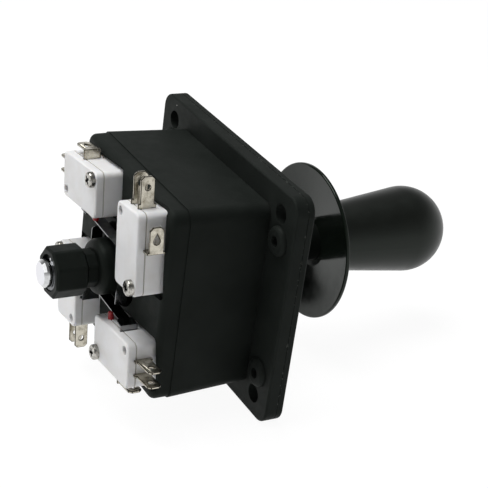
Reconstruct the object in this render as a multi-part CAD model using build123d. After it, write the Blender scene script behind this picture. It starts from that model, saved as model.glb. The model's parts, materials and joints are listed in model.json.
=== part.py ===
"""Arcade joystick lever: flanged housing, tilting stick and four lever switches.

Millimetres. The origin is the centre of the flange's panel-side face, +Z runs up the stick.
X and Y lie along the flange's long and short sides.
"""
import os
from math import acos, cos, degrees, radians, sin, sqrt, tan

from build123d import *

# Flange
FLANGE_X = 96.8
FLANGE_Y = 82.8
FLANGE_T = 6.8
FLANGE_CORNER_R = 5.5
FLANGE_EDGE_R = 0.7
BOLT_SPACING_X = 78.2
BOLT_SPACING_Y = 67.0
BOLT_HOLE_R = 3.25
BOSS_SPACING_X = 80.4
BOSS_SPACING_Y = 49.0
BOSS_R = 5.0
BOSS_H = 1.7
BOSS_EDGE_R = 1.5
BOSS_HOLE_R = 1.9
PARTING_W = 0.2
PARTING_DEEP = 0.15
PARTING_SHARE = 0.38

# Housing box below the flange
BODY_HALF_TOP = 33.5
BODY_HALF_SEAM = 34.4
BODY_CORNER_R = 4.0
BODY_DEEP = 28.9
WALL = 2.4

# Rear cover
COVER_STEP = 0.3
COVER_SIDE_H = 6.45
COVER_FLOOR = 3.5
COVER_EDGE_R = 2.2
COVER_WALL = 2.5
LIP_H = 2.0
LIP_T = 1.4
LIP_CLEAR = 0.15
POCKET_MARGIN = 1.6
POCKET_DEEP = 1.5
POCKET_R = 1.8

# Pivot
PIVOT_Z = -10.0
BALL_R = 10.9
SOCKET_CLEAR = 0.1
SOCKET_WALL = 4.0
SOCKET_MOUTH_R = 7.0
BALL_TOP_FLAT = 8.0
BALL_LOW_FLAT = 7.5
SOCKET_FLOOR = 1.5
TILT_DEG = 6.0

# Shaft, handle and dust washer
SHAFT_R = 4.75
SHAFT_LOW_Z = -70.0
COLLAR_R = 7.0
COLLAR_H = 3.0
TANG_R = 4.0
TANG_LENGTH = 27.0
TIP_CHAMFER = 0.9
RUN_CLEAR = 0.04
HANDLE_LOW_Z = 34.3
HANDLE_END_Z = 72.4
HANDLE_END_R = 15.9
HANDLE_CONE_DEG = 7.0
HANDLE_EDGE_R = 1.6
PRESS_CLEAR = 0.02
SLEEVE_R = 7.2
SLEEVE_EDGE = 0.6
WASHER_R = 28.1
WASHER_T = 1.5
WASHER_FLAT_R = 9.5
WASHER_DISH_DEG = 8.0
WASHER_EDGE_R = 0.5

# Actuator, its clip and the centring spring
HUB_R = 9.5
HUB_EDGE_R = 2.6
HUB_H = 15.2
NECK_FLATS = 12.4
NECK_H = 3.4
KNOB_SLOPE_H = 1.3
KNOB_FLATS = 16.4
KNOB_H = 10.5
KNOB_CHAMFER = 0.7
KNOB_EDGE_R = 1.8
KNOB_TURN = 15.5
CLIP_T = 1.0
CLIP_R = 5.8
CLIP_BAND = 0.8
CLIP_PRONG_W = 2.8
CLIP_MOUTH_SHARE = 0.9
CLIP_TURN = 63.0
CLIP_FROM_TIP = 3.0
CLIP_GROOVE_DEEP = 1.1
CLIP_CLEAR = 0.05
RECESS_DEEP = 1.3
RECESS_CLEAR = 0.4
SPRING_WIRE_R = 0.8
SPRING_MEAN_R = 9.6
SPRING_TURNS = 5.0
SPRING_WASHER_R = 11.5
SPRING_WASHER_T = 1.0
GATE_CLEAR = 0.4

# Lever switches, each 27.8 x 15.9 x 10.3 with two corner holes
SWITCH_L = 27.8
SWITCH_H = 15.9
SWITCH_T = 10.3
SWITCH_COVER_T = 3.0
SWITCH_CORNER_R = 2.0
SWITCH_FACE_R = 0.7
SWITCH_SEAM = 0.25
SWITCH_WALL = 1.6
SWITCH_FLOOR = 2.0
SWITCH_ROOM_CLEAR = 0.4
SWITCH_POST_CLEAR = 0.6
SWITCH_HOLE_R = 1.55
SWITCH_HOLE_IN = 2.8
SWITCH_FROM_AXIS = 16.0
SWITCH_TIP_Y = -1.35
GROUP_TURN = -6.8
PLUNGER_Y = 21.5
PLUNGER_OFF_MID = 1.9
PLUNGER_R = 1.0
PLUNGER_TIP_R = 0.6
PLUNGER_FLANGE_R = 1.9
PLUNGER_FLANGE_T = 1.4
PLUNGER_CLEAR = 0.05
PLUNGER_GAP = 0.2
PLUNGER_TRAVEL = 1.65
PLUNGER_STOP = 0.1
PLUNGER_ROOM = 0.4
LEVER_HINGE_Y = 11.3
LEVER_HINGE_X = 0.5
LEVER_FOOT_H = 2.2
LEVER_REACH = 28.2
LEVER_DEG = 8.0
LEVER_T = 0.4
LEVER_W = 4.0
LEVER_TIP_R = 1.2
LEVER_FOOT_W = 6.0
LEVER_FOOT_L = 4.0
HINGE_CLEAR = 0.2
TAB_W = 4.75
TAB_T = 0.8
TAB_OUT = 10.5
TAB_SHOULDER_W = 6.2
TAB_SHOULDER_L = 1.6
TAB_HOLE_R = 0.9
TAB_HOLE_FROM_TIP = 3.7
DROP_HOLE_R = 1.1
DROP_HOLE_L = 2.4
DROP_FROM_TIP = 4.6
TAB_CHAMFER = 1.0
LEG_W = 3.6
LEG_CLEAR = 0.05
NC_X = 5.7
NO_X = 10.8
LEG_IN = 8.5
COM_Y = 12.0
COM_OUT = 3.0
COM_TAB_L = 8.6
CONTACT_R = 1.2
CONTACT_T = 0.35
BLADE_T = 0.3
BLADE_W = 3.4
BLADE_SLOT_W = 1.36
BLADE_PAST_PLUNGER = 1.5
BLADE_SLOT_FROM_LEG = 1.5
BLADE_SLOT_FROM_COM = 1.2

# Switch screws
SCREW_R = 1.45
SCREW_HEAD_R = 2.65
SCREW_HEAD_H = 1.9
SCREW_HEAD_EDGE_R = 1.05
SCREW_BITE = 8.5
SCREW_POST_R = 3.3
POST_RIB_W = 2.4
SCREW_HOLE_CLEAR = 0.25
SCREW_CROSS_L = 3.0
SCREW_CROSS_W = 0.75
SCREW_CROSS_DEEP = 1.1
SCREW_CROSS_TURN = 20.0

# How far a cutting solid runs past what it cuts
OVERCUT = 1.0

# Levels worked out from the sizes above
FLANGE_BACK = -FLANGE_T
SEAM_Z = FLANGE_BACK - BODY_DEEP
ROOM_HALF = min(BODY_HALF_TOP, BODY_HALF_SEAM) - WALL
COVER_REAR = SEAM_Z - COVER_SIDE_H
COVER_INNER = COVER_REAR + COVER_FLOOR
POCKET_Z = COVER_REAR + POCKET_DEEP
SWITCH_BACK = POCKET_Z
SWITCH_REAR = SWITCH_BACK - SWITCH_T
SWITCH_SPLIT = SWITCH_REAR + SWITCH_COVER_T
SWITCH_MID = SWITCH_BACK - SWITCH_T / 2
SWITCH_END_Y = SWITCH_TIP_Y - SWITCH_L
PLUNGER_Z = SWITCH_MID - PLUNGER_OFF_MID
PLUNGER_FLANGE_X = SWITCH_WALL + PLUNGER_TRAVEL + PLUNGER_STOP
SOCKET_R = BALL_R + SOCKET_CLEAR
SOCKET_LOW = PIVOT_Z - sqrt(SOCKET_R**2 - SOCKET_MOUTH_R**2) - SOCKET_FLOOR
CLIP_Z = SHAFT_LOW_Z + CLIP_FROM_TIP
RECESS_Z = CLIP_Z + CLIP_T + CLIP_CLEAR
KNOB_END = RECESS_Z - RECESS_DEEP
KNOB_TOP = KNOB_END + KNOB_H
NECK_LOW = KNOB_TOP + KNOB_SLOPE_H
HUB_LOW = NECK_LOW + NECK_H
HUB_TOP = HUB_LOW + HUB_H
SPRING_LOW = HUB_TOP + SPRING_WASHER_T
GATE_HALF = HUB_R + (PIVOT_Z - COVER_REAR) * tan(radians(TILT_DEG)) + GATE_CLEAR
GATE_CORNER_R = HUB_R + GATE_CLEAR
WASHER_TOP = HANDLE_LOW_Z
WASHER_LOW = WASHER_TOP - WASHER_T
COLLAR_LOW = PIVOT_Z + BALL_TOP_FLAT
COLLAR_TOP = COLLAR_LOW + COLLAR_H
SCREW_X = SWITCH_H - SWITCH_HOLE_IN
SCREW_Y = SWITCH_L - SWITCH_HOLE_IN
SCREW_END = SEAM_Z + SCREW_BITE

# The four switches stand round the stick, each a quarter turn from the next
SIDES = {"right": 0, "front": -90, "left": 180, "back": 90}


def on_switch(side):
    """Place of one switch: local x runs outward, local y from the terminal end to the lever's tip."""
    return Rot(0, 0, GROUP_TURN + SIDES[side]) * Pos(SWITCH_FROM_AXIS, SWITCH_END_Y, 0)


def block(x0, x1, y0, y1, z0, z1):
    """Box between two corners."""
    return Pos((x0 + x1) / 2, (y0 + y1) / 2, (z0 + z1) / 2) * Box(x1 - x0, y1 - y0, z1 - z0)


def rod(r, z0, z1, x=0.0, y=0.0):
    """Upright cylinder between two levels."""
    return Pos(x, y, (z0 + z1) / 2) * Cylinder(r, z1 - z0)


def slab(width, depth, corner_r, z0, z1):
    """Upright prism with rounded corners between two levels."""
    return extrude(Pos(0, 0, z0) * RectangleRounded(width, depth, corner_r), z1 - z0)


def octagon(flats, z):
    """Eight-sided face at one level, sized across its flats, with softened corners."""
    outline = RegularPolygon(flats / 2, 8, major_radius=False)
    return Pos(0, 0, z) * fillet(outline.vertices(), KNOB_EDGE_R)


def save(solid, node):
    """Write one piece."""
    solid.label = node
    export_step(solid, f"parts/{node}.step")


# Housing, one moulding drawn as two: the flange with the ball socket, and the box with its screw posts
def mounting_flange():
    flange = slab(FLANGE_X, FLANGE_Y, FLANGE_CORNER_R, FLANGE_BACK, 0)
    rims = flange.edges().filter_by(Axis.Z, reverse=True)
    flange = fillet(rims, FLANGE_EDGE_R)
    parting_z = FLANGE_BACK + FLANGE_T * (1 - PARTING_SHARE)
    groove = slab(FLANGE_X + OVERCUT, FLANGE_Y + OVERCUT, FLANGE_CORNER_R, parting_z, parting_z + PARTING_W)
    groove -= slab(FLANGE_X - 2 * PARTING_DEEP, FLANGE_Y - 2 * PARTING_DEEP,
                   FLANGE_CORNER_R - PARTING_DEEP, parting_z, parting_z + PARTING_W)
    flange -= groove
    flange += rod(SOCKET_R + SOCKET_WALL, SOCKET_LOW, FLANGE_BACK)
    for x in (-BOSS_SPACING_X / 2, BOSS_SPACING_X / 2):
        for y in (-BOSS_SPACING_Y / 2, BOSS_SPACING_Y / 2):
            boss = rod(BOSS_R, FLANGE_BACK - BOSS_H, FLANGE_BACK, x, y)
            flange += fillet(boss.faces().sort_by(Axis.Z)[0].edges(), BOSS_EDGE_R)
            flange -= rod(BOSS_HOLE_R, FLANGE_BACK - BOSS_H, 0, x, y)
    for x in (-BOLT_SPACING_X / 2, BOLT_SPACING_X / 2):
        for y in (-BOLT_SPACING_Y / 2, BOLT_SPACING_Y / 2):
            flange -= rod(BOLT_HOLE_R, FLANGE_BACK, 0, x, y)
    flange -= Pos(0, 0, PIVOT_Z) * Sphere(SOCKET_R)
    flange -= rod(SOCKET_R, PIVOT_Z, 0)
    return flange - rod(SOCKET_MOUTH_R, SOCKET_LOW, PIVOT_Z)


def post_rib(side, width, z0, z1):
    """Web that ties one screw post to the wall beside it."""
    post = (on_switch("right") * Pos(SCREW_X, SCREW_Y, 0)).position
    reach = ROOM_HALF + WALL / 2
    half = width / 2
    web = block(post.X, reach, post.Y - half, post.Y + half, z0, z1)
    return Rot(0, 0, SIDES[side]) * web


def housing_box():
    top = Pos(0, 0, FLANGE_BACK) * RectangleRounded(2 * BODY_HALF_TOP, 2 * BODY_HALF_TOP, BODY_CORNER_R)
    seam = Pos(0, 0, SEAM_Z) * RectangleRounded(2 * BODY_HALF_SEAM, 2 * BODY_HALF_SEAM, BODY_CORNER_R)
    box = loft([seam, top])
    box -= slab(2 * ROOM_HALF, 2 * ROOM_HALF, BODY_CORNER_R - WALL / 2, SEAM_Z, FLANGE_BACK)
    for side in SIDES:
        box += on_switch(side) * rod(SCREW_POST_R, SEAM_Z, FLANGE_BACK, SCREW_X, SCREW_Y)
        box += post_rib(side, POST_RIB_W, SEAM_Z, FLANGE_BACK)
    for side in SIDES:
        box -= on_switch(side) * rod(SCREW_R + RUN_CLEAR / 2, SEAM_Z, SCREW_END + OVERCUT, SCREW_X, SCREW_Y)
    return box


# Rear cover: pan with a gate opening and a shallow pocket for each switch
def rear_cover():
    half = BODY_HALF_SEAM - COVER_STEP
    pan = slab(2 * half, 2 * half, BODY_CORNER_R, COVER_REAR, SEAM_Z)
    pan = fillet(pan.faces().sort_by(Axis.Z)[0].edges(), COVER_EDGE_R)
    inner = 2 * (half - COVER_WALL)
    pan -= slab(inner, inner, BODY_CORNER_R - COVER_WALL / 2, COVER_INNER, SEAM_Z)
    lip_outer = 2 * (ROOM_HALF - LIP_CLEAR)
    lip_inner = lip_outer - 2 * LIP_T
    lip = slab(lip_outer, lip_outer, BODY_CORNER_R - WALL / 2, COVER_INNER, SEAM_Z + LIP_H)
    lip -= slab(lip_inner, lip_inner, BODY_CORNER_R - WALL / 2, COVER_INNER, SEAM_Z + LIP_H)
    for side in SIDES:
        reach = SCREW_POST_R + LIP_CLEAR
        lip -= on_switch(side) * rod(reach, SEAM_Z, SEAM_Z + LIP_H, SCREW_X, SCREW_Y)
        lip -= post_rib(side, POST_RIB_W + 2 * LIP_CLEAR, SEAM_Z, SEAM_Z + LIP_H)
    pan += lip
    for side in SIDES:
        pan += on_switch(side) * rod(SCREW_POST_R, COVER_INNER, SEAM_Z, SCREW_X, SCREW_Y)
    pan -= slab(2 * GATE_HALF, 2 * GATE_HALF, GATE_CORNER_R, COVER_REAR, COVER_INNER)
    for side in SIDES:
        pocket = slab(SWITCH_H + 2 * POCKET_MARGIN, SWITCH_L + 2 * POCKET_MARGIN, POCKET_R,
                      COVER_REAR, POCKET_Z)
        pan -= on_switch(side) * Pos(SWITCH_H / 2, SWITCH_L / 2, 0) * pocket
        pan -= on_switch(side) * rod(SCREW_R + SCREW_HOLE_CLEAR, COVER_REAR, SEAM_Z, SCREW_X, SCREW_Y)
    return pan


# Stick: ball, shaft, handle, sleeve and dished dust washer
def pivot_ball():
    ball = Pos(0, 0, PIVOT_Z) * Sphere(BALL_R)
    keep = rod(BALL_R + OVERCUT, PIVOT_Z - BALL_LOW_FLAT, PIVOT_Z + BALL_TOP_FLAT)
    return (ball & keep) - rod(SHAFT_R + RUN_CLEAR, PIVOT_Z - BALL_R, PIVOT_Z + BALL_R)


def shaft():
    tang_top = HANDLE_LOW_Z + TANG_LENGTH
    body = rod(SHAFT_R, SHAFT_LOW_Z, HANDLE_LOW_Z)
    body = chamfer(body.faces().sort_by(Axis.Z)[0].edges(), TIP_CHAMFER)
    body += rod(COLLAR_R, COLLAR_LOW, COLLAR_TOP)
    body += rod(TANG_R, HANDLE_LOW_Z, tang_top)
    groove = rod(SHAFT_R + OVERCUT, CLIP_Z - CLIP_CLEAR, CLIP_Z + CLIP_T + CLIP_CLEAR)
    groove -= rod(SHAFT_R - CLIP_GROOVE_DEEP, CLIP_Z - CLIP_CLEAR, CLIP_Z + CLIP_T + CLIP_CLEAR)
    return body - groove


def bat_handle():
    slope = radians(HANDLE_CONE_DEG)
    tangent_r = HANDLE_END_R * cos(slope)
    tangent_z = HANDLE_END_Z - HANDLE_END_R * sin(slope)
    low_r = tangent_r - (tangent_z - HANDLE_LOW_Z) * tan(slope)
    side = Line((0, HANDLE_LOW_Z), (low_r, HANDLE_LOW_Z))
    side += Line((low_r, HANDLE_LOW_Z), (tangent_r, tangent_z))
    crown_mid = (HANDLE_END_R * cos(radians(45)), HANDLE_END_Z + HANDLE_END_R * sin(radians(45)))
    crown = ThreePointArc((tangent_r, tangent_z), crown_mid, (0, HANDLE_END_Z + HANDLE_END_R))
    spine = Line((0, HANDLE_END_Z + HANDLE_END_R), (0, HANDLE_LOW_Z))
    profile = make_face(side + crown + spine)
    handle = revolve(Plane.XZ * profile, Axis.Z)
    handle = fillet(handle.faces().sort_by(Axis.Z)[0].edges(), HANDLE_EDGE_R)
    return handle - rod(TANG_R + PRESS_CLEAR, HANDLE_LOW_Z, HANDLE_LOW_Z + TANG_LENGTH + PRESS_CLEAR)


def shaft_sleeve():
    tube = rod(SLEEVE_R, COLLAR_TOP, WASHER_LOW)
    tube = chamfer(tube.faces().sort_by(Axis.Z)[0].edges(), SLEEVE_EDGE)
    return tube - rod(SHAFT_R + RUN_CLEAR, COLLAR_TOP, WASHER_LOW)


def dust_washer():
    drop = (WASHER_R - WASHER_FLAT_R) * tan(radians(WASHER_DISH_DEG))
    bore = SHAFT_R + RUN_CLEAR
    outline = Polyline((bore, WASHER_TOP), (WASHER_FLAT_R, WASHER_TOP), (WASHER_R, WASHER_TOP - drop),
                       (WASHER_R, WASHER_LOW - drop), (WASHER_FLAT_R, WASHER_LOW), (bore, WASHER_LOW),
                       close=True)
    disc = revolve(Plane.XZ * make_face(outline), Axis.Z)
    rims = disc.edges().filter_by(GeomType.CIRCLE).filter_by(lambda rim: rim.radius > WASHER_FLAT_R)
    return fillet(rims, WASHER_EDGE_R)


# Actuator: round hub for the levers, octagonal neck and finger knob with a recess for the clip
def actuator():
    hub = rod(HUB_R, HUB_LOW, HUB_TOP)
    hub = fillet(hub.faces().sort_by(Axis.Z)[0].edges(), HUB_EDGE_R)
    knob = extrude(octagon(KNOB_FLATS, KNOB_END), KNOB_H)
    knob = chamfer(knob.faces().sort_by(Axis.Z)[0].edges(), KNOB_CHAMFER)
    slope = loft([octagon(KNOB_FLATS, KNOB_TOP), octagon(NECK_FLATS, NECK_LOW)])
    neck = extrude(octagon(NECK_FLATS, NECK_LOW), NECK_H + HUB_EDGE_R)
    body = hub + neck + slope + knob
    body -= rod(SHAFT_R + RUN_CLEAR, KNOB_END, HUB_TOP)
    body -= rod(CLIP_R + RECESS_CLEAR, KNOB_END, RECESS_Z)
    return Rot(0, 0, KNOB_TURN) * body


def e_clip():
    inner = SHAFT_R - CLIP_GROOVE_DEEP + CLIP_CLEAR
    ring = rod(CLIP_R, CLIP_Z, CLIP_Z + CLIP_T) - rod(CLIP_R - CLIP_BAND, CLIP_Z, CLIP_Z + CLIP_T)
    for turn in (0, 120, 240):
        prong = block(0, CLIP_R - CLIP_BAND / 2, -CLIP_PRONG_W / 2, CLIP_PRONG_W / 2, CLIP_Z, CLIP_Z + CLIP_T)
        ring += Rot(0, 0, turn) * prong
    ring -= rod(inner, CLIP_Z, CLIP_Z + CLIP_T)
    mouth_half = inner * CLIP_MOUTH_SHARE
    mouth = block(-CLIP_R - OVERCUT, 0, -mouth_half, mouth_half, CLIP_Z, CLIP_Z + CLIP_T)
    return Rot(0, 0, CLIP_TURN) * (ring - mouth)


def spring_washer():
    return rod(SPRING_WASHER_R, HUB_TOP, SPRING_LOW) - rod(SHAFT_R + RUN_CLEAR, HUB_TOP, SPRING_LOW)


def centring_spring():
    low = SPRING_LOW + SPRING_WIRE_R
    rise = SOCKET_LOW - SPRING_WIRE_R - low
    path = Pos(0, 0, low) * Helix(rise / SPRING_TURNS, rise, SPRING_MEAN_R)
    wire = Plane(path @ 0, z_dir=path % 0) * Circle(SPRING_WIRE_R)
    return sweep(wire, path)


# Switch pieces, drawn in the switch's own place: x outward, y along it, z as the whole part
def screw_holes(body):
    body -= rod(SWITCH_HOLE_R, SWITCH_REAR, SWITCH_BACK, SWITCH_HOLE_IN, SWITCH_HOLE_IN)
    return body - rod(SWITCH_HOLE_R, SWITCH_REAR, SWITCH_BACK, SCREW_X, SCREW_Y)


def plunger_bore():
    bore = Cylinder(PLUNGER_R + PLUNGER_CLEAR, SWITCH_WALL)
    return Pos(SWITCH_WALL / 2, PLUNGER_Y, PLUNGER_Z) * Rot(0, 90, 0) * bore


def hinge_slot():
    half = LEVER_T + HINGE_CLEAR
    side = LEVER_FOOT_W / 2 + HINGE_CLEAR
    return block(0, LEVER_HINGE_X + half, LEVER_HINGE_Y - half, LEVER_HINGE_Y + half,
                 SWITCH_MID - side, SWITCH_MID + side)


def switch_case():
    case = block(0, SWITCH_H, 0, SWITCH_L, SWITCH_SPLIT, SWITCH_BACK)
    case = fillet(case.edges().filter_by(Axis.Z), SWITCH_CORNER_R)
    case = chamfer(case.faces().sort_by(Axis.Z)[0].edges(), SWITCH_SEAM)
    room = 2 * SWITCH_HOLE_IN + SWITCH_ROOM_CLEAR
    floor_z = SWITCH_BACK - SWITCH_FLOOR
    case -= block(SWITCH_WALL, SWITCH_H - SWITCH_WALL, room, SWITCH_L - room, SWITCH_SPLIT, floor_z)
    post_x = SCREW_X - room / 2 - SWITCH_POST_CLEAR
    case -= block(SWITCH_WALL, post_x, room, SWITCH_L - SWITCH_WALL, SWITCH_SPLIT, floor_z)
    slit = TAB_T / 2 + LEG_CLEAR
    slit_top = SWITCH_MID + LEG_W / 2 + LEG_CLEAR
    for x in (NC_X, NO_X):
        case -= block(x - slit, x + slit, 0, room, SWITCH_SPLIT, slit_top)
    case -= block(SWITCH_H - SWITCH_WALL, SWITCH_H, COM_Y - slit, COM_Y + slit, SWITCH_SPLIT, slit_top)
    return screw_holes(case - plunger_bore() - hinge_slot())


def switch_cover():
    cover = block(0, SWITCH_H, 0, SWITCH_L, SWITCH_REAR, SWITCH_SPLIT)
    cover = fillet(cover.edges().filter_by(Axis.Z), SWITCH_CORNER_R)
    cover = fillet(cover.faces().sort_by(Axis.Z)[0].edges(), SWITCH_FACE_R)
    cover = chamfer(cover.faces().sort_by(Axis.Z)[-1].edges(), SWITCH_SEAM)
    reach = PLUNGER_FLANGE_R + PLUNGER_ROOM
    room_end = PLUNGER_FLANGE_X + PLUNGER_FLANGE_T + PLUNGER_TRAVEL + PLUNGER_ROOM
    low_y = PLUNGER_Y - reach
    high_y = PLUNGER_Y + reach
    cover -= block(SWITCH_WALL, room_end, low_y, high_y, PLUNGER_Z - reach, SWITCH_SPLIT)
    return screw_holes(cover - plunger_bore() - hinge_slot())


def lever_x(y, side=0.0):
    """Local x of the lever strip's middle line, or of a face where side is half its thickness."""
    along = y - LEVER_HINGE_Y
    return LEVER_HINGE_X - LEVER_FOOT_H - along * tan(radians(LEVER_DEG)) + side / cos(radians(LEVER_DEG))


def plunger():
    tip = lever_x(PLUNGER_Y, LEVER_T / 2) + PLUNGER_GAP
    stem_l = PLUNGER_FLANGE_X + PLUNGER_FLANGE_T - tip
    along = Pos(tip, PLUNGER_Y, PLUNGER_Z) * Rot(0, 90, 0)
    stem = Pos(0, 0, stem_l / 2) * Cylinder(PLUNGER_R, stem_l)
    stem = fillet(stem.faces().sort_by(Axis.Z)[0].edges(), PLUNGER_TIP_R)
    stem += Pos(0, 0, stem_l - PLUNGER_FLANGE_T / 2) * Cylinder(PLUNGER_FLANGE_R, PLUNGER_FLANGE_T)
    return along * stem


def switch_lever():
    half = LEVER_T / 2
    end_y = LEVER_HINGE_Y + LEVER_REACH
    neck_y = LEVER_HINGE_Y + LEVER_FOOT_L

    def strip(y0, y1, width):
        outline = Polyline((lever_x(y0, -half), y0), (lever_x(y1, -half), y1), (lever_x(y1, half), y1),
                           (lever_x(y0, half), y0), close=True)
        return Pos(0, 0, SWITCH_MID - width / 2) * extrude(make_face(outline), width)

    arm = strip(LEVER_HINGE_Y - half, neck_y, LEVER_FOOT_W)
    reach = strip(neck_y, end_y, LEVER_W)
    tip_edges = reach.edges().filter_by(Axis.X, tolerance=12).sort_by(Axis.Y)[-2:]
    reach = fillet(tip_edges, LEVER_TIP_R)
    foot = block(lever_x(LEVER_HINGE_Y), LEVER_HINGE_X, LEVER_HINGE_Y - half, LEVER_HINGE_Y + half,
                 SWITCH_MID - LEVER_FOOT_W / 2, SWITCH_MID + LEVER_FOOT_W / 2)
    curl = Pos(LEVER_HINGE_X, LEVER_HINGE_Y, SWITCH_MID) * Cylinder(LEVER_T, LEVER_FOOT_W)
    return arm + reach + foot + curl


def tab(length):
    """Flat blade along -y from the origin with a chamfered tip."""
    blade = block(-TAB_T / 2, TAB_T / 2, -length, 0, -TAB_W / 2, TAB_W / 2)
    tip = blade.edges().filter_by(Axis.X).sort_by(Axis.Y)[:2]
    return chamfer(tip, TAB_CHAMFER)


def round_hole(length):
    """Wire hole of an end terminal."""
    return Pos(0, TAB_HOLE_FROM_TIP - length, 0) * Rot(0, 90, 0) * Cylinder(TAB_HOLE_R, TAB_T)


def drop_hole(length):
    """Wire hole of the common terminal: round, running out to a point towards the tip."""
    lean = degrees(acos(DROP_HOLE_R / DROP_HOLE_L))
    side = DROP_HOLE_R * sin(radians(lean))
    foot = DROP_HOLE_R * cos(radians(lean))
    point = Plane.YZ * make_face(Polyline((-DROP_HOLE_L, 0), (-foot, side), (-foot, -side), close=True))
    drop = extrude(point, TAB_T / 2, both=True) + Rot(0, 90, 0) * Cylinder(DROP_HOLE_R, TAB_T)
    return Pos(0, DROP_FROM_TIP - length, 0) * drop


def end_terminal(x, contact_side):
    blade = tab(TAB_OUT) - round_hole(TAB_OUT)
    half_w = TAB_SHOULDER_W / 2
    blade += block(-TAB_T / 2, TAB_T / 2, -TAB_SHOULDER_L, -LEG_CLEAR, -half_w, half_w)
    leg = block(-TAB_T / 2, TAB_T / 2, 0, LEG_IN, -LEG_W / 2, LEG_W / 2)
    rivet_x = contact_side * (TAB_T + CONTACT_T) / 2
    rivet = Pos(rivet_x, LEG_IN - CONTACT_R, 0) * Rot(0, 90, 0) * Cylinder(CONTACT_R, CONTACT_T)
    return Pos(x, 0, SWITCH_MID) * (blade + leg + rivet)


def blade_x():
    """Local x of the contact blade's face that rests on the normally closed contact."""
    return NC_X + TAB_T / 2 + CONTACT_T


def common_terminal():
    out_x = SWITCH_H + COM_OUT
    leg = block(blade_x() + BLADE_T, SWITCH_H, -TAB_T / 2, TAB_T / 2, -LEG_W / 2, LEG_W / 2)
    ledge = block(SWITCH_H + LEG_CLEAR, out_x + TAB_T / 2, -TAB_T / 2, TAB_T / 2,
                  -TAB_SHOULDER_W / 2, TAB_SHOULDER_W / 2)
    root = block(SWITCH_H - LEG_CLEAR, SWITCH_H + 2 * LEG_CLEAR, -TAB_T / 2, TAB_T / 2, -LEG_W / 2, LEG_W / 2)
    upright_l = COM_TAB_L + TAB_T / 2
    upright = Pos(out_x, TAB_T / 2, 0) * (tab(upright_l) - drop_hole(upright_l))
    return Pos(0, COM_Y, SWITCH_MID) * (leg + root + ledge + upright)


def contact_blade():
    x = blade_x()
    end_y = PLUNGER_Y + BLADE_PAST_PLUNGER
    strip = block(x, x + BLADE_T, LEG_IN - 2 * CONTACT_R, end_y, -BLADE_W / 2, BLADE_W / 2)
    strip -= block(x, x + BLADE_T, LEG_IN + BLADE_SLOT_FROM_LEG, COM_Y - BLADE_SLOT_FROM_COM,
                   -BLADE_SLOT_W / 2, BLADE_SLOT_W / 2)
    pad_x = x + BLADE_T + CONTACT_T / 2
    pad = Pos(pad_x, LEG_IN - CONTACT_R, 0) * Rot(0, 90, 0) * Cylinder(CONTACT_R, CONTACT_T)
    return Pos(0, 0, SWITCH_MID) * (strip + pad)


def switch_screw():
    head = rod(SCREW_HEAD_R, SWITCH_REAR - SCREW_HEAD_H, SWITCH_REAR)
    head = fillet(head.faces().sort_by(Axis.Z)[0].edges(), SCREW_HEAD_EDGE_R)
    body = head + rod(SCREW_R, SWITCH_REAR, SCREW_END)
    top = SWITCH_REAR - SCREW_HEAD_H
    for turn in (SCREW_CROSS_TURN, SCREW_CROSS_TURN + 90):
        cross = block(-SCREW_CROSS_L / 2, SCREW_CROSS_L / 2, -SCREW_CROSS_W / 2, SCREW_CROSS_W / 2,
                      top, top + SCREW_CROSS_DEEP)
        body -= Rot(0, 0, turn) * cross
    return Pos(SCREW_X, SCREW_Y, 0) * body


# Build every node
os.makedirs("parts", exist_ok=True)
for piece in (mounting_flange, housing_box, rear_cover, pivot_ball, shaft, bat_handle, shaft_sleeve,
              dust_washer, actuator, e_clip, spring_washer, centring_spring):
    save(piece(), piece.__name__)

SWITCH_PIECES = {
    "switch_case": switch_case(),
    "switch_cover": switch_cover(),
    "plunger": plunger(),
    "switch_lever": switch_lever(),
    "terminal_nc": end_terminal(NC_X, 1),
    "terminal_no": end_terminal(NO_X, -1),
    "terminal_com": common_terminal(),
    "contact_blade": contact_blade(),
}
for name, solid in SWITCH_PIECES.items():
    for side in SIDES:
        save(on_switch(side) * solid, f"{name}_{side}")

screw = switch_screw()
save(Compound(children=[on_switch(side) * screw for side in SIDES]), "switch_screws")
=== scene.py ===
# %% [markdown]
# # Arcade joystick lever
# A panel joystick: a black flanged box, a stick with a bat handle, and four white lever
# switches that the stick's actuator works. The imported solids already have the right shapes
# and places, so this lesson keeps most of them, swaps the screws and the tabs for finer
# pieces, and gives every surface its finish. All lengths are in metres, and MM turns
# millimetres into them.

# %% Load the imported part
import json
import math

import bpy
from mathutils import Matrix, Vector


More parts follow.
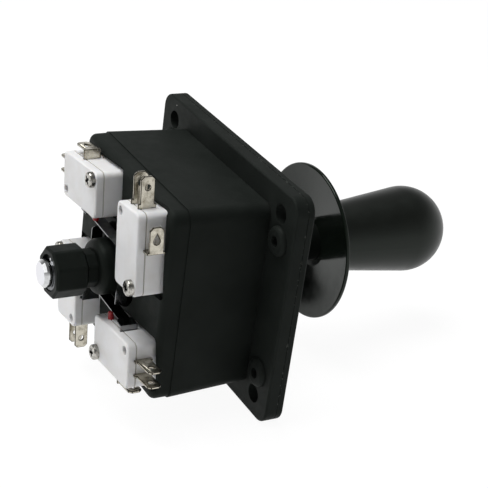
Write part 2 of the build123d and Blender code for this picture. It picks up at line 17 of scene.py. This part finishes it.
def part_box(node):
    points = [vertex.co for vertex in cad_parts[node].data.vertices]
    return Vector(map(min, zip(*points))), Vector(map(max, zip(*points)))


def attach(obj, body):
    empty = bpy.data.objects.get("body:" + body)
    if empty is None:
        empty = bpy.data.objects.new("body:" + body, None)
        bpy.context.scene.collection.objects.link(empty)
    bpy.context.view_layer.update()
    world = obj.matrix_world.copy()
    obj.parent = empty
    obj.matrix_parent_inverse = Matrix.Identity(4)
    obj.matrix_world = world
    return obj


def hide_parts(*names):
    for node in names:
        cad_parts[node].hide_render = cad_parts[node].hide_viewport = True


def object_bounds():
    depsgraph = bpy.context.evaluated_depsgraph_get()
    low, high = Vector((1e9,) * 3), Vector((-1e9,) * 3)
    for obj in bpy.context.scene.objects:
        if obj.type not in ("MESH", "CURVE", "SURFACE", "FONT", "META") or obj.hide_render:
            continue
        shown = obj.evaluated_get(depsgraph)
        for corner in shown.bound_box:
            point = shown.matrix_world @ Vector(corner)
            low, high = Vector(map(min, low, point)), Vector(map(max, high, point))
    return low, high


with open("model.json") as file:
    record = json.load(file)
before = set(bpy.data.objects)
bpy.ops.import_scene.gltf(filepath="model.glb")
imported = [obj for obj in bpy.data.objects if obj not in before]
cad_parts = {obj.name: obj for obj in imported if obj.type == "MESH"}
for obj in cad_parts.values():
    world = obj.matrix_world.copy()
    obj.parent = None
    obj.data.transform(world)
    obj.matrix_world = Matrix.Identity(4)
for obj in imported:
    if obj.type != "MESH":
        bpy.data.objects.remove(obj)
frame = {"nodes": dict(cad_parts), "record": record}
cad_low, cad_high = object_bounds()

MM = 0.001
nodes = frame["nodes"]

# %% [markdown]
# ## The camera
# The photograph looks at the part from behind and to one side, with the stick lying level.
# The part is modelled with the stick upright, so the camera is rolled to match instead. Its
# place and its three directions were fitted to edges seen in the photograph, which also gave
# a long lens, about 100 mm on a 36 mm wide sensor.

# %% Camera at the photograph's viewing angle
CAMERA_AT = Vector((361.25, -212.21, -217.42)) * MM
VIEW_RIGHT = Vector((0.4656, -0.1277, 0.8757))
VIEW_UP = Vector((-0.4493, -0.8866, 0.1096))
VIEW_BACK = Vector((0.7624, -0.4445, -0.4702))
IMAGE_PIXELS = 488
FOCAL_PIXELS = 1352.93
SENSOR_MM = 36.0
NEAR_CLIP = 10 * MM
FAR_CLIP = 20.0

camera_data = bpy.data.cameras.new("camera")
camera_data.sensor_width = SENSOR_MM
camera_data.lens = FOCAL_PIXELS / IMAGE_PIXELS * SENSOR_MM
camera_data.clip_start = NEAR_CLIP
camera_data.clip_end = FAR_CLIP
camera = bpy.data.objects.new("camera", camera_data)
bpy.context.scene.collection.objects.link(camera)
turn = Matrix((VIEW_RIGHT, VIEW_UP, VIEW_BACK)).transposed()
camera.matrix_world = Matrix.Translation(CAMERA_AT) @ turn.to_4x4()
bpy.context.scene.camera = camera
bpy.context.scene.view_settings.view_transform = "Standard"
print("lens in mm:", round(camera_data.lens, 1))

# %% [markdown]
# ## Helpers for finishes
# Colours are written as sRGB hex, as a picture editor shows them, and one function turns
# them into the linear values a shader wants. A second small function adds any node, sets its
# properties and sockets, and links it, so that a finish reads as a short list of nodes. Every
# pattern sits on Object coordinates, which are real lengths, so its scale comes from a size
# in millimetres.

# %% Colour and node helpers
def linear(code):
    """sRGB hex to a linear colour."""
    parts = [int(code[i:i + 2], 16) / 255 for i in (1, 3, 5)]
    return [c / 12.92 if c <= 0.04045 else ((c + 0.055) / 1.055) ** 2.4 for c in parts] + [1.0]


def add(tree, kind, settings=None, links=None):
    """One node with its settings, given by property or socket, and links as socket: (node, output)."""
    node = tree.nodes.new(kind)
    for key, value in (settings or {}).items():
        if isinstance(key, str) and hasattr(node, key):
            setattr(node, key, value)
        else:
            node.inputs[key].default_value = value
    for key, (source, output) in (links or {}).items():
        tree.links.new(source.outputs[output], node.inputs[key])
    return node


def per_mm(size):
    """Texture scale whose features are about this many millimetres wide, on Object coordinates."""
    return 1 / (size * MM)


def emptied(owner):
    """The node tree of a material or world, with nothing in it."""
    owner.use_nodes = True
    owner.node_tree.nodes.clear()
    return owner.node_tree


print("one sRGB grey in linear:", [round(c, 3) for c in linear("#808080")])

# %% [markdown]
# Four things come back in nearly every finish: an empty material to start from, two colours
# mottled by noise, a thin band at one height up the stick, for a line in a moulding, and the
# links that bring colour, roughness and relief to the shader.

# %% What the finishes share
NOISE_SPREAD = {"From Min": 0.3, "From Max": 0.7}


def blank(name):
    """A new material, its tree, its Principled shader, and the link that puts a pattern on the piece."""
    material = bpy.data.materials.new(name)
    tree = emptied(material)
    shader = add(tree, "ShaderNodeBsdfPrincipled")
    add(tree, "ShaderNodeOutputMaterial", links={"Surface": (shader, 0)})
    return material, tree, shader, {"Vector": (add(tree, "ShaderNodeTexCoord"), "Object")}


def mottled(tree, here, size, detail, low, high, span, crisp=0.5):
    """Two colours mixed by noise of a size in millimetres; span is where the mix starts and ends."""
    noise = add(tree, "ShaderNodeTexNoise",
                {"Scale": per_mm(size), "Detail": detail, "Roughness": crisp}, here)
    ramp = add(tree, "ShaderNodeValToRGB", links={"Fac": (noise, "Fac")})
    for stop, code, position in zip(ramp.color_ramp.elements, (low, high), span):
        stop.color = linear(code)
        stop.position = position
    return ramp


def height_band(tree, here, level, half):
    """1 within half of this height up the stick, and 0 elsewhere."""
    along = add(tree, "ShaderNodeSeparateXYZ", links=here)
    return add(tree, "ShaderNodeMath", {"operation": "COMPARE", 1: level, 2: half}, {0: (along, "Z")})


def surfaced(tree, shader, colour, rough, relief, deep):
    """Bring a finish's colour, roughness and relief to the shader, with the relief this deep."""
    bump = add(tree, "ShaderNodeBump", {"Strength": 1.0, "Distance": deep}, {"Height": (relief, "Fac")})
    for node, socket in ((colour, "Base Color"), (rough, "Roughness"), (bump, "Normal")):
        tree.links.new(node.outputs[0], shader.inputs[socket])


print("noise is read between", list(NOISE_SPREAD.values()))

# %% [markdown]
# ## Black mouldings
# The housing is glass-filled nylon from a spark-eroded mould, so it has a fine matt grain
# and only a weak, wide sheen. The handle is smoother ABS, the actuator and sleeve are
# acetal, which is slippery and a little shinier, and the dust washer is polished. They share
# one recipe: two close blacks mixed by slow noise, roughness that wanders, a fine bump, and a
# sheen with a trace of green. Real grain is about 0.1 mm. It is drawn at 0.45 mm, so that it
# still shows at this size. The housing also carries a few specks of lint, and where the
# mould's halves met round the flange, a broken pale line is painted on as a highlight.

# %% Lint and a painted highlight on the housing
LINT_SPACING = 16
PARTING_DOWN = 2.5 * MM
PARTING_HALF = 0.35 * MM
# The pale line along the parting line is a painted highlight, broken by noise.
HIGHLIGHT_BREAK_SIZE = 0.8
HIGHLIGHT_BREAKS = {"From Min": 0.6, "From Max": 0.7}
PALE_LINT = "#b9bab6"
PARTING_HIGHLIGHT = "#5a5d59"
parting_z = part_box("mounting_flange")[1].z - PARTING_DOWN


def lint_and_highlight(tree, here, colour, lint):
    """A colour with lint of a size in millimetres, and a broken painted highlight along the parting
    line, over it.
    """
    spots = add(tree, "ShaderNodeTexVoronoi", {"Scale": per_mm(LINT_SPACING)}, here)
    near = add(tree, "ShaderNodeMath", {"operation": "LESS_THAN", 1: lint / LINT_SPACING},
               {0: (spots, "Distance")})
    colour = add(tree, "ShaderNodeMixRGB", {"Color2": linear(PALE_LINT)},
                 {"Fac": (near, 0), "Color1": (colour, 0)})
    # Painted highlight: a broken pale line along the parting line.
    line = height_band(tree, here, parting_z, PARTING_HALF)
    highlight_noise = add(tree, "ShaderNodeTexNoise", {"Scale": per_mm(HIGHLIGHT_BREAK_SIZE), "Detail": 2.0}, here)
    highlight_gaps = add(tree, "ShaderNodeMapRange", HIGHLIGHT_BREAKS, {"Value": (highlight_noise, "Fac")})
    painted_highlight = add(tree, "ShaderNodeMath", {"operation": "MULTIPLY"}, {0: (line, 0), 1: (highlight_gaps, 0)})
    return add(tree, "ShaderNodeMixRGB", {"Color2": linear(PARTING_HIGHLIGHT)},
               {"Fac": (painted_highlight, 0), "Color1": (colour, 0)})


print("parting line at", round(parting_z / MM, 2), "mm up the stick")

# %% Black moulded plastics
PLASTIC_IOR = 1.5
GREENISH_SHEEN = "#f0fdf2"
SHINE_PATCH = 3.5


def black_moulding(name, dark, light, gloss, specular, grain, depth, lint=0.0):
    """Black plastic: gloss is (smoothest, roughest); grain, depth and lint are in millimetres."""
    material, tree, shader, here = blank(name)
    shader.inputs["Specular IOR Level"].default_value = specular
    shader.inputs["IOR"].default_value = PLASTIC_IOR
    shader.inputs["Specular Tint"].default_value = linear(GREENISH_SHEEN)
    colour = mottled(tree, here, size=14, detail=3.0, low=dark, high=light, span=(0.35, 0.65))
    # Lint, and on the housing a painted highlight along the parting line.
    if lint:
        colour = lint_and_highlight(tree, here, colour, lint)
    wander = add(tree, "ShaderNodeTexNoise", {"Scale": per_mm(SHINE_PATCH), "Detail": 4.0}, here)
    rough = add(tree, "ShaderNodeMapRange", {**NOISE_SPREAD, "To Min": gloss[0], "To Max": gloss[1]},
                {"Value": (wander, "Fac")})
    fine = add(tree, "ShaderNodeTexNoise", {"Scale": per_mm(grain), "Detail": 2.0}, here)
    surfaced(tree, shader, colour, rough, fine, depth * MM)
    return material


finishes = {
    "housing_plastic": black_moulding(
        "grained_black_nylon", "#1a1d1b", "#202321",
        gloss=(0.5, 0.62), specular=0.07, grain=0.45, depth=0.03, lint=0.2),
    "handle_plastic": black_moulding(
        "satin_black_abs", "#121412", "#161816",
        gloss=(0.3, 0.38), specular=0.29, grain=0.5, depth=0.003),
    "actuator_plastic": black_moulding(
        "slick_black_acetal", "#111412", "#151816",
        gloss=(0.42, 0.54), specular=0.085, grain=0.6, depth=0.008),
    "washer_plastic": black_moulding(
        "polished_black_abs", "#121813", "#161c17",
        gloss=(0.1, 0.16), specular=0.22, grain=2.5, depth=0.004),
}
print("black finishes:", [m.name for m in finishes.values()])

# %% [markdown]
# ## White switch plastic and the small coloured mouldings
# The switches are white PBT, a dense satin plastic with hardly any grain. A faint warm
# mottling and a trace of light under the surface stop it from looking like paint, and a
# grey line of painted shade runs along the seam between case and cover. The plungers are red
# and glossy, and the pivot ball is natural acetal, waxy and cream.

# %% Pale and coloured plastics
SKIN_DEPTH = 0.8 * MM
SKIN_RADIUS = (1.0, 0.8, 0.6)
PEEL_WIDE = 0.8
PEEL_DEEP = 0.012 * MM
PEEL_ROUGHER = 0.06
# The grey seam line is painted shade.
SEAM_PAINTED_SHADE = "#b4b1aa"
SEAM_HALF = 0.22 * MM


def pale_moulding(name, light, warm, roughness, under, seam_z=None):
    """Pale plastic with warm mottling, orange-peel, light under its skin, and painted shade in a seam.
    """
    material, tree, shader, here = blank(name)
    shader.inputs["IOR"].default_value = PLASTIC_IOR
    shader.inputs["Specular IOR Level"].default_value = 0.4
    shader.inputs["Subsurface Weight"].default_value = under
    shader.inputs["Subsurface Radius"].default_value = SKIN_RADIUS
    shader.inputs["Subsurface Scale"].default_value = SKIN_DEPTH
    colour = mottled(tree, here, size=7, detail=4.0, low=warm, high=light, span=(0.3, 0.6))
    if seam_z is not None:
        # Painted shade: a grey line along the seam between case and cover.
        seam = height_band(tree, here, seam_z, SEAM_HALF)
        colour = add(tree, "ShaderNodeMixRGB", {"Color2": linear(SEAM_PAINTED_SHADE)},
                     {"Fac": (seam, 0), "Color1": (colour, 0)})
    peel = add(tree, "ShaderNodeTexNoise", {"Scale": per_mm(PEEL_WIDE), "Detail": 3.0}, here)
    rough = add(tree, "ShaderNodeMapRange",
                {"To Min": roughness - PEEL_ROUGHER, "To Max": roughness + PEEL_ROUGHER},
                {"Value": (peel, "Fac")})
    surfaced(tree, shader, colour, rough, peel, PEEL_DEEP)
    return material


case_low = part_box("switch_case_right")[0]
cover_low, cover_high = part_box("switch_cover_right")
seam_z = cover_low.z if cover_low.z > case_low.z else cover_high.z
finishes["switch_white"] = pale_moulding(
    "white_pbt", "#ebebec", "#e4e3e2", roughness=0.42, under=0.1, seam_z=seam_z)
finishes["plunger_red"] = pale_moulding(
    "red_acetal", "#a3131d", "#8c0d17", roughness=0.3, under=0.05)
finishes["pivot_plastic"] = pale_moulding(
    "natural_acetal", "#ece8dd", "#e2dccb", roughness=0.38, under=0.1)
print("finishes so far:", len(finishes), "with the switches' seam at", round(seam_z / MM, 2), "mm")

# %% [markdown]
# ## Metals
# The shaft and its clip are nickel-plated steel, bright with faint turning rings, and the
# shaft's tip was sawn off, which leaves a duller, whiter end. The levers are stainless strip,
# brushed by the rolls. The terminals are brass with a thin dull coat of tin: pale, a little
# yellow, and stained where fingers and flux have been. A metal's colour is its reflection,
# so the streaks and stains mostly change its roughness.

# %% Plated, brushed and tinned metals
BRUSH_WIDE = 0.35
BRUSH_DEEP = 0.004 * MM
SAWN_COLOUR = "#eeeef2"
SAWN_ROUGH = 0.5


def metal(name, bright, stained, gloss, streak, stains, sawn_below=None):
    """Metal: streak stretches its brushing along Z, stains are in millimetres, a sawn end is paler."""
    material, tree, shader, here = blank(name)
    shader.inputs["Metallic"].default_value = 1.0
    colour = mottled(tree, here, size=stains, detail=5.0, low=stained, high=bright,
                     span=(0.32, 0.55), crisp=0.6)
    stretch = add(tree, "ShaderNodeMapping", {"Scale": (1.0, 1.0, streak)}, here)
    lines = add(tree, "ShaderNodeTexNoise", {"Scale": per_mm(BRUSH_WIDE), "Detail": 3.0},
                {"Vector": (stretch, 0)})
    rough = add(tree, "ShaderNodeMapRange", {**NOISE_SPREAD, "To Min": gloss[0], "To Max": gloss[1]},
                {"Value": (lines, "Fac")})
    if sawn_below is not None:
        along = add(tree, "ShaderNodeSeparateXYZ", links=here)
        sawn = add(tree, "ShaderNodeMath", {"operation": "LESS_THAN", 1: sawn_below}, {0: (along, "Z")})
        colour = add(tree, "ShaderNodeMixRGB", {"Color2": linear(SAWN_COLOUR)},
                     {"Fac": (sawn, 0), "Color1": (colour, 0)})
        rough = add(tree, "ShaderNodeMix", {"B": SAWN_ROUGH}, {"Factor": (sawn, 0), "A": (rough, 0)})
    surfaced(tree, shader, colour, rough, lines, BRUSH_DEEP)
    return material


finishes["plated_steel"] = metal(
    "bright_nickel_plate", "#d2d3d4", "#babbbc", gloss=(0.1, 0.2), streak=0.05, stains=2.0)
finishes["spring_steel"] = metal(
    "oiled_spring_steel", "#6f7174", "#4c4d50", gloss=(0.25, 0.4), streak=1.0, stains=1.5)
finishes["lever_steel"] = metal(
    "rolled_stainless_strip", "#8e8f90", "#6c6d6e", gloss=(0.1, 0.18), streak=8.0, stains=3.0)
finishes["tab_metal"] = metal(
    "tinned_brass", "#cbc6b8", "#958f80", gloss=(0.22, 0.38), streak=6.0, stains=2.2)
finishes["contact_metal"] = metal(
    "beryllium_copper", "#c08f55", "#9b6b38", gloss=(0.2, 0.35), streak=6.0, stains=1.5)
print("finishes:", sorted(m.name for m in finishes.values()))

# %% [markdown]
# ## Dress the solids
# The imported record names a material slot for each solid. Each gets the finish of that slot.
# The shaft alone gets a finish of its own, with the sawn end at its tip.

# %% Give every solid its finish
SAWN_DEPTH = 0.05 * MM
slot_of = {part["node"]: part["material_slot"] for part in frame["record"]["subparts"]}
for name, solid in nodes.items():
    solid.data.materials.clear()
    solid.data.materials.append(finishes[slot_of[name]])
tip_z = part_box("shaft")[0].z
nodes["shaft"].data.materials[0] = metal(
    "nickel_plate_sawn_end", "#d2d3d4", "#babbbc",
    gloss=(0.05, 0.1), streak=0.05, stains=2.0, sawn_below=tip_z + SAWN_DEPTH)
print("dressed", len(nodes), "solids")

# %% [markdown]
# ## Switch screws
# A pan-head screw with a cross recess holds each switch by one corner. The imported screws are
# plain, and their recess is a straight-sided slot, while a real one tapers to fit a driver.
# So one screw is modelled from a cylinder: its bearing face is inset and extruded into the
# shank, and its rim is rolled over with a wide bevel. It is plated with zinc, which is duller
# and more blotched than nickel.

# %% Pick faces and edges by their place
LEVEL_WITHIN = 0.01 * MM


def choose(test, kind="FACE"):
    """In edit mode, select only the faces or edges whose middle passes the test."""
    bpy.ops.mesh.select_mode(type=kind)
    bpy.ops.mesh.select_all(action="DESELECT")
    bpy.ops.object.mode_set(mode="OBJECT")
    mesh = bpy.context.active_object.data
    for item in mesh.polygons if kind == "FACE" else mesh.edges:
        middle = sum((mesh.vertices[i].co for i in item.vertices), Vector()) / len(item.vertices)
        item.select = test(middle, item)
    bpy.ops.object.mode_set(mode="EDIT")


def is_flat_at(level):
    """Test for a face, or an edge of a rim, that lies at this height."""
    return lambda middle, item: abs(middle.z - level) < LEVEL_WITHIN


print("a face lies at a height within", round(LEVEL_WITHIN / MM, 3), "mm")

# %% One pan-head screw
HEAD_R = 2.65 * MM
HEAD_H = 1.9 * MM
HEAD_SIDES = 64
SHANK_R = 1.45 * MM
ROLL_OVER = 0.75 * MM
ROLL_STEPS = 8
screws_low, screws_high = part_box("switch_screws")
bearing_z = screws_low.z + HEAD_H
shank_length = screws_high.z - bearing_z

screw_plate = metal(
    "dull_zinc_plate", "#b9b7b1", "#6d6a63", gloss=(0.14, 0.26), streak=1.0, stains=0.9)
bpy.ops.object.select_all(action="DESELECT")
bpy.ops.mesh.primitive_cylinder_add(
    vertices=HEAD_SIDES, radius=HEAD_R, depth=HEAD_H, location=(0, 0, -HEAD_H / 2))
screw = bpy.context.active_object
bpy.ops.object.transform_apply(location=True)
bpy.ops.object.mode_set(mode="EDIT")
choose(is_flat_at(0))
bpy.ops.mesh.inset(thickness=HEAD_R - SHANK_R)
bpy.ops.mesh.extrude_region_move(TRANSFORM_OT_translate={"value": (0, 0, shank_length)})
choose(is_flat_at(-HEAD_H), "EDGE")
bpy.ops.mesh.bevel(offset=ROLL_OVER, segments=ROLL_STEPS, profile=0.5)
bpy.ops.object.mode_set(mode="OBJECT")
screw.data.materials.append(screw_plate)
print("screw:", len(screw.data.polygons), "faces, head", round(2 * HEAD_R / MM, 2), "mm across")

# %% [markdown]
# The recess is cut by two crossed blocks whose inner ends are drawn in to a taper. A cutter
# may carry a finish that the cut keeps, so the blocks are dark: painted shade in the recess.

# %% Cut the tapered cross
RECESS_SPAN = 4.0 * MM
RECESS_WIDE = 1.25 * MM
RECESS_DEEP = 1.45 * MM
RECESS_TAPER = 0.45
SMOOTH_TO = math.radians(35)
# The recess's dark finish is painted shade.
recess_painted_shade = metal("painted_shade_recess", "#1c1b19", "#100f0e", gloss=(0.4, 0.55), streak=1.0, stains=0.6)
for quarter in (0, 90):
    bpy.ops.object.select_all(action="DESELECT")
    bpy.ops.mesh.primitive_cube_add(size=1, location=(0, 0, -HEAD_H))
    arm = bpy.context.active_object
    arm.scale = (RECESS_SPAN, RECESS_WIDE, 2 * RECESS_DEEP)
    bpy.ops.object.transform_apply(location=True, scale=True)
    bpy.ops.object.mode_set(mode="EDIT")
    choose(is_flat_at(RECESS_DEEP - HEAD_H))
    bpy.ops.transform.resize(value=(RECESS_TAPER, RECESS_TAPER, 1))
    bpy.ops.object.mode_set(mode="OBJECT")
    arm.data.transform(Matrix.Rotation(math.radians(quarter), 4, "Z"))
    arm.data.materials.append(recess_painted_shade)
    cut = screw.modifiers.new("cross", "BOOLEAN")
    cut.object = arm
    cut.operation = "DIFFERENCE"
    cut.solver = "EXACT"
    cut.material_mode = "TRANSFER"
    bpy.ops.object.select_all(action="DESELECT")
    screw.select_set(True)
    bpy.context.view_layer.objects.active = screw
    bpy.ops.object.modifier_apply(modifier=cut.name)
    bpy.data.objects.remove(arm)
bpy.ops.object.shade_smooth_by_angle(angle=SMOOTH_TO)
print("recess faces:", sum(face.material_index > 0 for face in screw.data.polygons))

# %% [markdown]
# The four screws stand at the outer corners of the switches, a quarter turn apart, and each
# stopped at its own angle when it was driven home.

# %% Copy the screw to each switch
SCREW_FROM_AXIS = 29.1 * MM
SCREW_ALONG = -4.15 * MM
GROUP_TURN = -6.8
DRIVEN_HOME = {"right": (0, 12), "front": (-90, 58), "left": (180, 31), "back": (90, 76)}
for side, (quarter, stopped_at) in DRIVEN_HOME.items():
    copy = bpy.data.objects.new(f"pan_screw_{side}", screw.data.copy())
    bpy.context.scene.collection.objects.link(copy)
    round_axis = Matrix.Rotation(math.radians(GROUP_TURN + quarter), 4, "Z")
    seat = Matrix.Translation((SCREW_FROM_AXIS, SCREW_ALONG, bearing_z))
    copy.data.transform(round_axis @ seat @ Matrix.Rotation(math.radians(stopped_at), 4, "Z"))
    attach(copy, "housing")
    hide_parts("switch_screws")
bpy.data.objects.remove(screw)
print("screws at", [round(c / MM, 1) for c in (screws_low.z, screws_high.z)], "mm up the stick")

# %% [markdown]
# ## Tab edges
# The tabs are stamped from sheet and the tin covers their faces. Their sheared edges get a
# dark finish, painted shade that draws a thin dark line round each tab. A bevel can give its
# new faces a finish of their own, so each tab is copied, its triangles are merged into whole
# faces, and the edges that show outside the switch are bevelled with the darker finish.

# %% Bevel the tabs with painted shade on their edges
SHEARED = 0.22 * MM
SHEARED_STEPS = 2
OUTSIDE_CASE = 35 * MM
MERGE_WITHIN = 0.001 * MM
FLAT_TO = math.radians(1)
SHARP_FROM = math.radians(40)
body_of_node = {
    node: body
    for body, members in frame["record"]["behaviour"]["bodies"].items()
    for node in members
}
# The tab edges' dark finish is painted shade, a thin dark line round each tab.
tab_edge_painted_shade = metal(
    "painted_shade_tab_edge", "#38342c", "#1e1b17", gloss=(0.4, 0.55), streak=6.0, stains=1.2)


def edged_copy(name):
    """A copy of a tab with bevelled edges in a dark finish of painted shade, riding where the tab does.
    """
    bpy.ops.object.select_all(action="DESELECT")
    piece = bpy.data.objects.new(f"{name}_edged", nodes[name].data.copy())
    bpy.context.scene.collection.objects.link(piece)
    piece.select_set(True)
    bpy.context.view_layer.objects.active = piece
    piece.data.materials.append(tab_edge_painted_shade)
    bpy.ops.object.mode_set(mode="EDIT")
    bpy.ops.mesh.select_all(action="SELECT")
    bpy.ops.mesh.remove_doubles(threshold=MERGE_WITHIN)
    bpy.ops.mesh.dissolve_limited(angle_limit=FLAT_TO)
    bpy.ops.mesh.select_mode(type="EDGE")
    bpy.ops.mesh.select_all(action="DESELECT")
    bpy.ops.mesh.edges_select_sharp(sharpness=SHARP_FROM)
    bpy.ops.object.mode_set(mode="OBJECT")
    sharp = {edge.index for edge in piece.data.edges if edge.select}
    bpy.ops.object.mode_set(mode="EDIT")
    choose(lambda middle, edge: edge.index in sharp and middle.xy.length > OUTSIDE_CASE, "EDGE")
    # The bevel's new faces take the dark finish: painted shade round the tab.
    bpy.ops.mesh.bevel(offset=SHEARED, segments=SHEARED_STEPS, material=1, clamp_overlap=False)
    bpy.ops.object.mode_set(mode="OBJECT")
    bpy.ops.object.shade_smooth_by_angle(angle=SMOOTH_TO)
    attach(piece, body_of_node[name])
    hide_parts(name)
    return piece


tabs = [edged_copy(name) for name in nodes if name.startswith("terminal_")]
# Area of the painted shade on the first tab's edges.
shade_painted = sum(face.area for face in tabs[0].data.polygons if face.material_index)
print(len(tabs), "tabs; bare edge on the first:", round(shade_painted / MM ** 2, 1), "square mm")

# %% [markdown]
# ## Floor
# The part lies on a white table. Its stick is level there, so the floor is a plane square to
# the photograph's upright, tipped towards the lens, that touches the lowest corner of the
# flange. It is seen from above only: from below it lets the view through, so that it doesn't
# hide the part. Most of its white is a glow that only the lens and glossy surfaces see, and
# the rest is matt and takes the part's shadow.

# %% Floor under the part as it lies
TABLE_TIP = math.radians(24)
TABLE_SIZE = 6.0
TABLE_GAP = 0.2 * MM
TABLE_GLOW = 0.87
GLOW_STRENGTH = 1.08
floor_up = (VIEW_UP * math.cos(TABLE_TIP) + VIEW_BACK * math.sin(TABLE_TIP)).normalized()
lowest = min(floor_up.dot(v.co) for node in nodes.values() for v in node.data.vertices)
bpy.ops.object.select_all(action="DESELECT")
bpy.ops.mesh.primitive_plane_add(size=TABLE_SIZE)
floor = bpy.context.active_object
floor.name = "floor"
turn = floor_up.to_track_quat("Z", "Y").to_matrix().to_4x4()
floor.data.transform(Matrix.Translation(floor_up * (lowest - TABLE_GAP)) @ turn)

white = bpy.data.materials.new("white_table")
tree = emptied(white)
rays = add(tree, "ShaderNodeLightPath")
seen = add(tree, "ShaderNodeMath", {"operation": "MAXIMUM"},
           {0: (rays, "Is Camera Ray"), 1: (rays, "Is Glossy Ray")})
glow = add(tree, "ShaderNodeMath", {"operation": "MULTIPLY", 1: TABLE_GLOW}, {0: (seen, 0)})
matt = add(tree, "ShaderNodeBsdfDiffuse", {"Color": linear("#f4f4f4")})
bright = add(tree, "ShaderNodeEmission", {"Color": linear("#ffffff"), "Strength": GLOW_STRENGTH})
top = add(tree, "ShaderNodeMixShader", links={0: (glow, 0), 1: (matt, 0), 2: (bright, 0)})
facing = add(tree, "ShaderNodeNewGeometry")
clear = add(tree, "ShaderNodeBsdfTransparent")
both = add(tree, "ShaderNodeMixShader", links={0: (facing, "Backfacing"), 1: (top, 0), 2: (clear, 0)})
add(tree, "ShaderNodeOutputMaterial", links={"Surface": (both, 0)})
floor.data.materials.append(white)
print("floor faces", [round(c, 3) for c in floor_up], "at", round(lowest / MM, 1), "mm")

# %% [markdown]
# ## Light
# A broad lamp hangs above and a weaker one stands at the tail's side. The room that the
# glossy pieces mirror is white round the horizon, dim overhead, and a little darker on the
# side that the photograph was taken from, so that gloss and metal have something to show. It
# lights the part only weakly, and the lens sees it as plain white.

# %% Lamps
# Each lamp has its place from the part's middle, its width in metres and its power in watts.
LAMPS = {
    "overhead": (VIEW_UP * 0.7 + VIEW_BACK * 0.25 - VIEW_RIGHT * 0.15, 0.5, 5.0),
    "tail_side": (-VIEW_RIGHT * 0.4 + VIEW_UP * 0.16 + VIEW_BACK * 0.24, 0.35, 0.5),
}
centre = (cad_low + cad_high) / 2
for name, (offset, size, watts) in LAMPS.items():
    lamp_data = bpy.data.lights.new(name, "AREA")
    lamp_data.size = size
    lamp_data.energy = watts
    lamp = bpy.data.objects.new(name, lamp_data)
    bpy.context.scene.collection.objects.link(lamp)
    aim = (-offset).to_track_quat("-Z", "Y").to_matrix().to_4x4()
    lamp.matrix_world = Matrix.Translation(centre + offset) @ aim
print("lamps:", list(LAMPS))

# %% White surroundings
CEILING = 0.2
CEILING_FADE = {"From Min": 0.0, "From Max": 0.6}
FRONT_SIDE = 0.7
FRONT_FADE = {"From Min": 0.1, "From Max": 0.8}
ROOM_FILL = 0.18
world = bpy.data.worlds.new("white_room")
bpy.context.scene.world = world
tree = emptied(world)
rays = add(tree, "ShaderNodeLightPath")
way = {0: (add(tree, "ShaderNodeTexCoord"), "Generated")}
height = add(tree, "ShaderNodeVectorMath", {"operation": "DOT_PRODUCT", 1: floor_up}, way)
dimmed = add(tree, "ShaderNodeMapRange", {**CEILING_FADE, "To Min": 1.0, "To Max": CEILING},
             {"Value": (height, "Value")})
depth = add(tree, "ShaderNodeVectorMath", {"operation": "DOT_PRODUCT", 1: VIEW_BACK}, way)
shade = add(tree, "ShaderNodeMapRange", {**FRONT_FADE, "To Min": 1.0, "To Max": FRONT_SIDE},
            {"Value": (depth, "Value")})
mirrored = add(tree, "ShaderNodeMath", {"operation": "MULTIPLY"}, {0: (dimmed, 0), 1: (shade, 0)})
level = add(tree, "ShaderNodeMix", {"A": ROOM_FILL},
            {"Factor": (rays, "Is Glossy Ray"), "B": (mirrored, 0)})
seen = add(tree, "ShaderNodeMath", {"operation": "MAXIMUM"},
           {0: (rays, "Is Camera Ray"), 1: (rays, "Is Transmission Ray")})
level = add(tree, "ShaderNodeMix", {"B": 1.0}, {"Factor": (seen, 0), "A": (level, 0)})
sky = add(tree, "ShaderNodeBackground", {"Color": linear("#ffffff")}, {"Strength": (level, 0)})
add(tree, "ShaderNodeOutputWorld", links={"Surface": (sky, 0)})
print("room: ceiling", CEILING, "of white in gloss,", ROOM_FILL, "as fill light")
